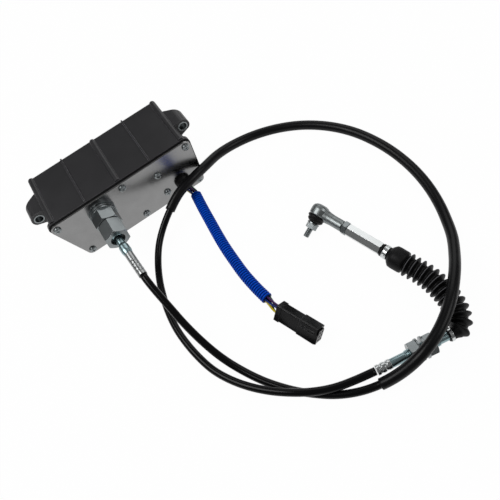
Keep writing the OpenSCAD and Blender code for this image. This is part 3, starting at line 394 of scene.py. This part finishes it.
def make_finishes(colours):
    """One material for each material slot of the record and each finish in OWN_FINISH."""
    return {
        "black_moulding": moulded_plastic("housing_moulding", colours.moulding),
        "pale_plastic": moulded_plastic("acetal", (0.75, 0.72, 0.62), rough=0.35),
        "blue_plastic": moulded_plastic("sensor_case", (0.05, 0.12, 0.35)),
        "plug_plastic": moulded_plastic("plug_moulding", (0.004, 0.004, 0.0045),
            rough=0.16, shine=0.3, grain=0.000001, edge=0.0003),
        "plate_steel": metal("cover_sheet", colours.plate,
            rough=0.22, mottle=0.06, edge=0.0002, depth=0.000005),
        "zinc_steel": metal("zinc_plating", colours.zinc, rough=0.26, scratch=0.06, depth=0.000003),
        "blue_zinc": metal("blue_passivation", (0.28, 0.38, 0.4),
            rough=0.26, scratch=0.06, depth=0.000003),
        "dull_steel": metal("crimped_sleeve", (0.33, 0.34, 0.34), rough=0.26, mottle=0.15, scratch=0.08),
        "plain_steel": metal("machined_steel", (0.5, 0.5, 0.5), rough=0.3, mottle=0.08, scratch=0.1),
        "forged_steel": forged_metal("forged_plating", (0.24, 0.26, 0.26)),
        "bright_steel": metal("bright_plating", (0.6, 0.62, 0.62),
            rough=0.2, mottle=0.05, scratch=0.06, depth=0.000004),
        "brass": metal("turned_brass", (0.8, 0.58, 0.25), rough=0.25, mottle=0.05, scratch=0.06),
        "winding": moulded_plastic("potted_coils", (0.3, 0.13, 0.06), rough=0.5),
        "rubber": rubber("black_rubber", colours.rubber),
        "conduit_black": jacket("conduit_jacket", (0.003, 0.003, 0.0033),
            rough=0.2, ripple=0.00004, shine=0.14),
        "sleeve_black": jacket("sleeve_jacket", (0.004, 0.004, 0.0045),
            rough=0.32, ripple=0.0001, shine=0.16),
        # The tube's valleys are painted in shade, at a fifth of its colour.
        "loom_blue": jacket("corrugated_tube", colours.loom,
            rough=0.36, ripple=0.00003, shine=0.06, valley=0.2),
        **{slot: jacket(slot + "_insulation", colour) for slot, colour in WIRE_COLOURS.items()},
    }


finishes = {}


def finish_of(name, slot):
    """A piece's own finish, or else its slot's. The first call makes them all."""
    if not finishes:
        finishes.update(make_finishes(bpy.context.scene.actuator_colours))
    return finishes[OWN_FINISH.get(name, slot)]


def smooth_line(points, step):
    """A smooth curve through the points, as points about step apart."""
    points = [Vector(p) for p in points]
    ends = [2 * points[0] - points[1], *points, 2 * points[-1] - points[-2]]
    line = []
    for before, start, end, after in zip(ends, ends[1:], ends[2:], ends[3:]):
        pieces = max(1, round((end - start).length / step))
        for i in range(pieces):
            line.append(spline_point(before, start, end, after, i / pieces))
    return [*line, points[-1]]


def spline_point(before, start, end, after, t):
    """The point at t between start and end, on a smooth curve through all four points."""
    return 0.5 * (2 * start + (end - before) * t + (2 * before - 5 * start + 4 * end - after) * t ** 2
        + (3 * start - before - 3 * end + after) * t ** 3)


def length_of(line):
    """How long a line of points is, from end to end along it."""
    return sum((b - a).length for a, b in zip(line, line[1:]))


def rings_along(line):
    """For each point of the line: its place, two directions across it, and the distance so far."""
    rings = []
    side = None
    reach = 0.0
    for i, place in enumerate(line):
        ahead = (line[min(i + 1, len(line) - 1)] - line[max(i - 1, 0)]).normalized()
        if side is None:
            side = ahead.cross(Vector((0, 0, 1))).normalized()
        side = (side - side.dot(ahead) * ahead).normalized()
        if i:
            reach += (place - line[i - 1]).length
        rings.append((place, side, ahead.cross(side), reach))
    return rings


def add_piece(name, points, faces, body, slot, measures):
    """A mesh piece with its finish, and with each measure's number for each point. It rides a body,
    unless body is None, where it rides none."""
    mesh = bpy.data.meshes.new(name)
    mesh.from_pydata([tuple(p) for p in points], [], faces)
    mesh.update()
    mesh.polygons.foreach_set("use_smooth", [True] * len(mesh.polygons))
    for key, values in measures.items():
        mesh.attributes.new(key, "FLOAT", "POINT").data.foreach_set("value", values)
    mesh.materials.append(finish_of(name, slot))
    piece = bpy.data.objects.new(name, mesh)
    bpy.context.scene.collection.objects.link(piece)
    if body:
        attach(piece, body)
    return piece


def ring_turns(sides):
    """The angle of each point of a ring."""
    return [2 * math.pi * k / sides for k in range(sides)]


def seam_nearness(count, sides):
    """For each point of count rings, how near it is to the seam, from 0 across from it to 1."""
    return [abs(k / sides - 0.5) * 2 for k in range(sides)] * count


def skin_faces(count, sides, ring=False):
    """The faces of count rings of points, closed into a ring or capped at both ends."""
    pairs = [(i * sides, (i + 1) % count * sides) for i in range(count if ring else count - 1)]
    faces = [[near + k, near + (k + 1) % sides, far + (k + 1) % sides, far + k]
        for near, far in pairs for k in range(sides)]
    if not ring:
        faces += [list(range(sides))[::-1], [(count - 1) * sides + k for k in range(sides)]]
    return faces


def swept(name, line, stations, body, slot, sides):
    """A closed skin round a line. A station is a ring: how far along the line, its radius."""
    rings = rings_along(line)
    reach = np.array([ring[3] for ring in rings])
    tracks = [np.array([tuple(ring[k]) for ring in rings]) for k in range(3)]
    widest = max(radius for _, radius in stations)
    points, along, proud = [], [], []
    for at, radius in stations:
        centre, first, second = [np.array([np.interp(at, reach, track[:, k]) for k in range(3)])
            for track in tracks]
        for turn in ring_turns(sides):
            points.append(centre + radius * (math.cos(turn) * first + math.sin(turn) * second))
            along.append(at)
            proud.append(radius / widest)
    count = len(stations)
    return add_piece(name, points, skin_faces(count, sides), body, slot,
        {"along": along, "around": seam_nearness(count, sides), "proud": proud})


def rounded(profile, radius):
    """A profile with each inner corner rounded, over less than half of each side at it."""
    side_share = 0.45
    line = [Vector(p) for p in profile]
    out = [line[0]]
    for before, corner, after in zip(line, line[1:], line[2:]):
        cut = min(radius, side_share * (corner - before).length, side_share * (after - corner).length)
        start = corner + cut * (before - corner).normalized()
        end = corner + cut * (after - corner).normalized()
        for t in (0, 0.25, 0.5, 0.75, 1):
            out.append((1 - t) ** 2 * start + 2 * t * (1 - t) * corner + t * t * end)
    return [*out, line[-1]]


def turned(name, profile, place, body, slot, sides, soft=0.0002, ring=False):
    """A turned piece: profile points are (along X, radius) in the frame of place. A ring's profile
    comes back to its first point, and any other is capped at both ends."""
    outline = rounded(profile, soft)
    if ring:
        outline.pop()
    points, along = [], []
    for at, radius in outline:
        for turn in ring_turns(sides):
            points.append(place @ Vector((at, radius * math.cos(turn), radius * math.sin(turn))))
            along.append(at)
    count = len(outline)
    return add_piece(name, points, skin_faces(count, sides, ring), body, slot,
        {"along": along, "around": seam_nearness(count, sides)})


def threaded(name, place, start, end, radius, pitch, body, slot):
    """A helical thread as one closed skin along X of place, which fades over a pitch at each end."""
    sides, rings_per_turn = 40, 8
    crest_width, end_drop = 1.15, 0.5
    depth = THREAD_DEPTH * pitch
    count = round((end - start) / pitch * rings_per_turn)
    points, along = [], []
    for i in range(count + 1):
        at = start + (end - start) * i / count
        fade = min(1.0, (at - start) / pitch, (end - at) / pitch)
        for k, turn in enumerate(ring_turns(sides)):
            phase = (at / pitch - k / sides) % 1.0
            rise = min(1.0, crest_width * abs(2 * phase - 1))
            r = radius - depth * (1 - rise) - (1 - fade) * end_drop * depth
            points.append(place @ Vector((at, r * math.cos(turn), r * math.sin(turn))))
            along.append(at)
    return add_piece(name, points, skin_faces(count + 1, sides), body, slot,
        {"along": along, "around": seam_nearness(count + 1, sides)})


def frame_at(place, heading, roll=0.0):
    """A frame at place, with X turned to the heading and rolled about itself, in degrees."""
    turn = Matrix.Rotation(math.radians(heading), 4, "Z") @ Matrix.Rotation(math.radians(roll), 4, "X")
    return Matrix.Translation(place) @ turn


def rod_frame():
    """The rod end's frame: X from the ball towards the boot, Z against the stud."""
    joints = {joint["name"]: joint for joint in frame["joints"]}
    along = -Vector(joints["rod_slide"]["axis"]).normalized()
    up = Vector(joints["stud_swivel"]["axis"]).normalized()
    matrix = Matrix((along, up.cross(along), up)).transposed().to_4x4()
    matrix.translation = joints["stud_swivel"]["pos_m"]
    return matrix


def bulkhead_frame():
    """The bulkhead tube's frame: its axis along X, away from the cable."""
    return frame_at(BULKHEAD_START, BULKHEAD_HEADING)


def stud_frame():
    """The stud's frame: its ball at the origin, and its thread along X."""
    return rod_frame() @ Matrix.Rotation(math.radians(90), 4, "Y")


def stations_to(long, radius, step):
    """Stations of one radius from 0 to long, about step apart."""
    count = max(2, round(long / step))
    return [(long * i / count, radius) for i in range(count + 1)]


def cable_line():
    """The conduit's middle, from the gland to the bulkhead thread."""
    return smooth_line(CABLE_ROUTE, step=0.002)


def sleeve_line():
    """The stretch of the cable line that the sleeve covers."""
    line = cable_line()
    first, last = [nearest(line, CABLE_ROUTE[k]) for k in (SLEEVE_FIRST, SLEEVE_LAST)]
    return line[first:last + 1]


def nearest(line, place):
    """The number of the line's point that lies nearest to a place."""
    return min(range(len(line)), key=lambda i: (line[i] - Vector(place)).length)


class ActuatorOperator:
    """What the operators share."""

    bl_options = {"REGISTER", "UNDO"}


class MakeStage(ActuatorOperator, bpy.types.Operator):
    """Adds the camera, the lamps, the world and the floor"""

    bl_idname = "actuator.stage"
    bl_label = "Stage"

    def execute(self, context):
        stage = context.scene.actuator_stage
        self.add_camera(context.scene)
        self.add_lamps(context.scene, stage)
        self.add_world(context.scene, stage)
        self.add_floor(context.scene, stage)
        context.scene.view_settings.view_transform = "Standard"
        return {"FINISHED"}

    @staticmethod
    def add_camera(scene):
        camera = bpy.data.objects.new("camera", bpy.data.cameras.new("camera"))
        camera.data.lens = CAMERA_LENS
        camera.data.sensor_width = CAMERA_SENSOR
        camera.data.clip_start = 0.01
        right, up = Vector(CAMERA_RIGHT), -Vector(CAMERA_DOWN)
        matrix = Matrix((right, up, right.cross(up))).transposed().to_4x4()
        matrix.translation = CAMERA_PLACE
        camera.matrix_world = matrix
        scene.collection.objects.link(camera)
        scene.camera = camera

    @staticmethod
    def add_lamps(scene, stage):
        for name, place, target, size, share in LAMPS:
            lamp = bpy.data.lights.new(name, "AREA")
            lamp.size = size
            lamp.energy = share * stage.key
            holder = bpy.data.objects.new(name, lamp)
            holder.location = place
            holder.rotation_euler = (Vector(target) - Vector(place)).to_track_quat("-Z", "Y").to_euler()
            scene.collection.objects.link(holder)

    @staticmethod
    def add_world(scene, stage):
        """Soft light from all round, which the camera itself sees as plain white."""
        world = bpy.data.worlds.new("studio")
        world.use_nodes = True
        sky = NodeMaker(world.node_tree)
        white = (1.0, 1.0, 1.0, 1.0)
        light, seen = [sky.node("ShaderNodeBackground", {}, {"Color": white, "Strength": strength})
            for strength in (stage.world, 1.0)]
        camera_ray = sky.node("ShaderNodeLightPath", output="Is Camera Ray")
        mixed = sky.node("ShaderNodeMixShader", {}, {0: camera_ray, 1: light, 2: seen})
        sky.tree.links.new(mixed.socket, sky.tree.nodes["World Output"].inputs["Surface"])
        scene.world = world

    @staticmethod
    def add_floor(scene, stage):
        """Pale paper, which the camera and reflections see as nearly plain white."""
        mesh = bpy.data.meshes.new("floor")
        corners = [(x * FLOOR_HALF, y * FLOOR_HALF, 0) for x, y in ((-1, -1), (1, -1), (1, 1), (-1, 1))]
        mesh.from_pydata(corners, [], [(0, 1, 2, 3)])
        floor = bpy.data.objects.new("floor", mesh)
        scene.collection.objects.link(floor)
        finish = Finish("floor_paper", Roughness=0.9)
        finish.shader.inputs["Base Color"].default_value = opaque(stage.floor)
        finish.shader.inputs["Specular IOR Level"].default_value = 0.0
        rays = (finish.node("ShaderNodeLightPath", output="Is Camera Ray")
            + finish.node("ShaderNodeLightPath", output="Is Glossy Ray"))
        glow = finish.node("ShaderNodeEmission", {}, {"Strength": 1.0})
        shader = Signal(finish, finish.shader.outputs[0])
        mixed = finish.node("ShaderNodeMixShader", {}, {0: stage.whiteness * rays, 1: shader, 2: glow})
        output = finish.tree.nodes["Material Output"]
        finish.tree.links.new(mixed.socket, output.inputs["Surface"])
        mesh.materials.append(finish.material)


class MakeControlCable(ActuatorOperator, bpy.types.Operator):
    """Makes the conduit with its sleeve, from the gland to the bulkhead thread"""

    bl_idname = "actuator.control_cable"
    bl_label = "Control cable"

    def execute(self, context):
        sizes = context.scene.actuator_sizes
        line = cable_line()
        long = length_of(line)
        conduit = swept("conduit", line, stations_to(long, sizes.conduit_d / 2, step=0.003),
            ACTUATOR, "conduit_black", sides=20)
        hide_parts("cable_front", "cable_rear")
        self.add_sleeve(sizes)
        return {"FINISHED"}

    @staticmethod
    def add_sleeve(sizes):
        line = sleeve_line()
        long = length_of(line)
        gap, lip, mouth_depth = 0.0004, 0.0003, 0.006
        outer, inner = sizes.sleeve_d / 2, sizes.conduit_d / 2 + gap
        mouth = [(mouth_depth, inner), (lip, inner), (0.0, inner + lip), (0.0, outer - lip), (lip, outer)]
        body = stations_to(long, outer, step=0.003)[1:-1]
        far_mouth = [(long - at, radius) for at, radius in reversed(mouth)]
        sleeve = swept("sleeve", line, mouth + body + far_mouth, ACTUATOR, "sleeve_black", sides=24)
        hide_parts("cable_sleeve")


class MakePlugLead(ActuatorOperator, bpy.types.Operator):
    """Makes the corrugated tube and the five wires between the grommet and the plug"""

    bl_idname = "actuator.plug_lead"
    bl_label = "Plug lead"

    # Where the wires' first points lie from the grommet's mouth: inside it, at it and outside it
    MOUTH_OFFSETS = [(0, 0.009, 0), (0, 0, 0), (0.0008, -0.0035, -0.0025)]
    # Where the wires' last points lie along the plug, from its rear face
    PLUG_PLACES = (-0.004, 0.0035)
    # One corrugation: share of the pitch, share of the depth
    CORRUGATION = [(0.0, 0.0), (0.12, 0.55), (0.22, 0.92), (0.34, 1.0), (0.56, 1.0), (0.68, 0.92),
        (0.78, 0.55), (0.9, 0.0)]

    def execute(self, context):
        sizes = context.scene.actuator_sizes
        wires = [self.add_wire(sizes, k, colour) for k, colour in enumerate(WIRE_COLOURS)]
        line = smooth_line(LOOM_ROUTE, step=0.001)
        long = length_of(line)
        tube = swept("corrugated_tube", line, self.corrugations(sizes, long),
            ACTUATOR, "loom_blue", sides=32)
        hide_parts("loom")
        return {"FINISHED"}

    @classmethod
    def corrugations(cls, sizes, long):
        """Rings of the tube: a flat crest and a rounded valley for each corrugation, open ends."""
        depth, wall, mouth_depth = 0.0013, 0.0005, 0.008
        outer = sizes.loom_d / 2
        root, inner = outer - depth, outer - depth - wall
        count = round(long / sizes.loom_pitch)
        pitch = long / count
        skin = [(pitch * (i + at), outer - depth * (1 - rise)) for i in range(count)
            for at, rise in cls.CORRUGATION]
        start = [(mouth_depth, inner), (0.0, inner)]
        end = [(long, root), (long, inner), (long - mouth_depth, inner)]
        return start + skin + end

    @classmethod
    def add_wire(cls, sizes, k, colour):
        """One of the wires, which lie in a circle in the tube and in an oval in the plug."""
        turn = 2 * math.pi * k / len(WIRE_COLOURS)
        grommet_spread, plug_oval = 0.0031, (0.0016, 0.004)
        end_spread, tube_spread = 0.9 * grommet_spread, 0.7 * grommet_spread
        across = (plug_oval[0] * math.cos(turn), plug_oval[1] * math.sin(turn))

        def beside(place, radius):
            return Vector(place) + radius * Vector((math.cos(turn), 0, math.sin(turn)))

        mouth = Vector(GROMMET_MOUTH)
        in_grommet = [beside(mouth + Vector(offset), grommet_spread) for offset in cls.MOUTH_OFFSETS]
        start, *middle, end = LOOM_ROUTE
        in_tube = [beside(start, end_spread), *[beside(p, tube_spread) for p in middle],
            beside(end, end_spread)]
        plug = frame_at(PLUG_REAR, PLUG_HEADING, PLUG_ROLL)
        in_plug = [plug @ Vector((x, *across)) for x in cls.PLUG_PLACES]
        line = smooth_line([*in_grommet, *in_tube, *in_plug], step=0.002)
        wire = swept(colour + "_wire_run", line,
            stations_to(length_of(line), sizes.wire_d / 2, step=0.002), ACTUATOR, colour, sides=12)
        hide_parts(colour + "_wire")
        return wire


class MakeBoot(ActuatorOperator, bpy.types.Operator):
    """Makes the rubber bellows with its neck and cuff"""

    bl_idname = "actuator.boot"
    bl_label = "Bellows"

    # The cuff's front shoulder: how far behind the folds, how far below their crests
    FRONT_SHOULDER = [(0.0, 0.0035), (0.0008, 0.0012), (0.0022, 0.0007)]
    # Its rear shoulder: how far before the boot's end, how far below the crests
    REAR_SHOULDER = [(0.007, 0.0006), (0.0045, 0.0009), (0.0025, 0.0026), (0.0012, 0.0042),
        (0.0006, 0.0048), (0.0, 0.0052)]

    def execute(self, context):
        sizes = context.scene.actuator_sizes
        bulkhead = bulkhead_frame()
        rod = rod_frame()
        neck = [bulkhead @ Vector((x * MM, 0, 0)) for x in NECK_POINTS]
        cuff = [rod @ Vector((x * MM, 0, 0)) for x in CUFF_POINTS]
        line = smooth_line([*neck, *BOOT_ROUTE, *cuff], step=0.001)
        stations = self.stations(sizes.boot_d / 2, sizes.boot_folds, length_of(line))
        boot = swept("rubber_boot", line, stations, None, "rubber", sides=48)
        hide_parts("bellows")
        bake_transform(boot)
        return {"FINISHED"}

    @classmethod
    def stations(cls, crest, folds, long):
        """Neck ring, folds with thin crests, and the cuff with its rounded shoulders."""
        neck_r, neck_bore, cuff_bore, ring_height = 0.0053, 0.0042, 0.0036, 0.0005
        neck_long, cuff_long, first_slope = 0.0078, 0.0175, 0.0015
        first_swell, swell_step, crest_thinness = 0.9, 0.04, 1.5
        fold_depth, steps = 0.0037, 14
        root = crest - fold_depth
        first, last = neck_long, long - cuff_long
        pitch = (last - first) / folds
        out = [(0.0005, neck_bore), (0.0, neck_r), (0.0008, neck_r + ring_height), (0.0012, neck_r),
            (first - first_slope, neck_r)]
        for fold in range(folds):
            swell = min(1.0, first_swell + swell_step * fold)
            for step in range(steps):
                t = step / steps
                rise = (0.5 - 0.5 * math.cos(2 * math.pi * t)) ** crest_thinness
                out.append((first + pitch * (fold + t), swell * (root + (crest - root) * rise)))
        out += [(last + behind, crest - below) for behind, below in cls.FRONT_SHOULDER]
        out += [(long - before, crest - below) for before, below in cls.REAR_SHOULDER]
        return [*out, (long, cuff_bore)]


class MakeDustBoot(ActuatorOperator, bpy.types.Operator):
    """Makes the ball joint's dust boot round the stud"""

    bl_idname = "actuator.dust_boot"
    bl_label = "Dust boot"

    # Millimetres along the stud and from its axis: the rubber's outline, all round
    SKIN = [(4.4, 6.1), (3.8, 6.1), (3.8, 8.9), (4.6, 9.2), (5.8, 9.1), (6.9, 7.7), (7.9, 8.2),
        (8.9, 7.8), (10.3, 6.3), (10.9, 5.4), (10.9, 4.6), (10.0, 4.6), (9.3, 5.6), (8.4, 6.5),
        (6.9, 6.4), (5.5, 7.7), (4.9, 7.7), (4.9, 6.1), (4.4, 6.1)]
    # Two places along the stud, in millimetres
    BEND_START, BEND_END = 5, 9.5

    def execute(self, context):
        stud = stud_frame()
        profile = [(x * MM, r * MM) for x, r in self.SKIN]
        cover = turned("stud_cover", profile, stud, None, "rubber", sides=64, soft=0.0005, ring=True)
        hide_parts("dust_boot")
        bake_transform(cover)
        return {"FINISHED"}


class MakeThreads(ActuatorOperator, bpy.types.Operator):
    """Makes the threaded bulkhead tube and the ball stud with their real threads"""

    bl_idname = "actuator.threads"
    bl_label = "Threads"

    def execute(self, context):
        sizes = context.scene.actuator_sizes
        self.add_bulkhead_tube(sizes.bulkhead_d / 2)
        self.add_ball_stud(sizes.stud_d / 2)
        return {"FINISHED"}

    @staticmethod
    def add_bulkhead_tube(thread_r):
        """The plain tube, with a slightly wider core under its thread."""
        bulkhead = bulkhead_frame()
        face_r, tube_r, pitch = 0.002, 0.004, 0.00125
        core_r = thread_r - CORE_DEPTH * pitch
        start, first, last, end = 0.0132, 0.0272, 0.0578, 0.0722
        outside, inside = 0.0006, 0.0004
        outline = [(start, face_r), (start, tube_r), (first - outside, tube_r), (first + inside, core_r),
            (last - inside, core_r), (last + outside, tube_r), (end, tube_r), (end, face_r)]
        tube = turned("bulkhead_tube", outline, bulkhead, ACTUATOR, "zinc_steel", sides=48)
        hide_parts("far_tube")
        threaded("bulkhead_thread", bulkhead, first, last, thread_r, pitch, ACTUATOR, "zinc_steel")

    @staticmethod
    def add_ball_stud(thread_r):
        """The ball, its neck and collar, and the core under the thread."""
        stud = stud_frame()
        ball_r, neck_r, collar_r, pitch = 0.005, 0.0025, 0.0044, 0.001
        neck_end, collar_start, collar_end = 0.0075, 0.0095, 0.0112
        core_end, thread_end = 0.0266, 0.0269
        core_r = thread_r - CORE_DEPTH * pitch
        first_turn, steps = -89, 16
        neck_turn = math.degrees(math.acos(neck_r / ball_r))
        turns = [math.radians(first_turn + (neck_turn - first_turn) * k / steps)
            for k in range(steps + 1)]
        ball = [(ball_r * math.sin(turn), ball_r * math.cos(turn)) for turn in turns]
        outline = [*ball, (neck_end, neck_r), (collar_start, collar_r), (collar_end, collar_r),
            (collar_end, core_r), (core_end, core_r)]
        piece = turned("threaded_stud", outline, stud, STUD, "zinc_steel", sides=40)
        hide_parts("ball_stud")
        threaded("stud_thread", stud, collar_end, thread_end, thread_r, pitch, STUD, "zinc_steel")


class FinishPieces(ActuatorOperator, bpy.types.Operator):
    """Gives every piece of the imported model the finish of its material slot"""

    bl_idname = "actuator.finish_pieces"
    bl_label = "Finishes"

    def execute(self, context):
        for node, slot in record_slots().items():
            piece = frame["nodes"][node]
            piece.data.materials.clear()
            piece.data.materials.append(finish_of(node, slot))
        return {"FINISHED"}


class ActuatorPanel(bpy.types.Panel):
    """Lists the operators and the sizes and colours that they use"""

    bl_idname = "ACTUATOR_PT_panel"
    bl_label = "Actuator"
    bl_space_type = "VIEW_3D"
    bl_region_type = "UI"
    bl_category = "Actuator"

    def draw(self, context):
        for settings in (context.scene.actuator_sizes, context.scene.actuator_colours,
                context.scene.actuator_stage):
            column = self.layout.column()
            for name in settings.bl_rna.properties.keys():
                if name not in ("rna_type", "name"):
                    column.prop(settings, name)
        for operator in OPERATORS:
            self.layout.operator(operator.bl_idname)


OPERATORS = [MakeStage, MakeControlCable, MakePlugLead, MakeBoot, MakeDustBoot, MakeThreads,
    FinishPieces]
SETTINGS = {"actuator_sizes": ActuatorSizes, "actuator_colours": ActuatorColours,
    "actuator_stage": ActuatorStage}
CLASSES = [*SETTINGS.values(), *OPERATORS, ActuatorPanel]


def register():
    for item in CLASSES:
        bpy.utils.register_class(item)
    for name, group in SETTINGS.items():
        setattr(bpy.types.Scene, name, PointerProperty(type=group))


def unregister():
    for name in SETTINGS:
        delattr(bpy.types.Scene, name)
    for item in reversed(CLASSES):
        bpy.utils.unregister_class(item)


def main():
    register()
    bpy.ops.actuator.stage()
    bpy.ops.actuator.control_cable()
    bpy.ops.actuator.plug_lead()
    bpy.ops.actuator.boot()
    bpy.ops.actuator.dust_boot()
    bpy.ops.actuator.threads()
    bpy.ops.actuator.finish_pieces()


if __name__ == "__main__":
    main()
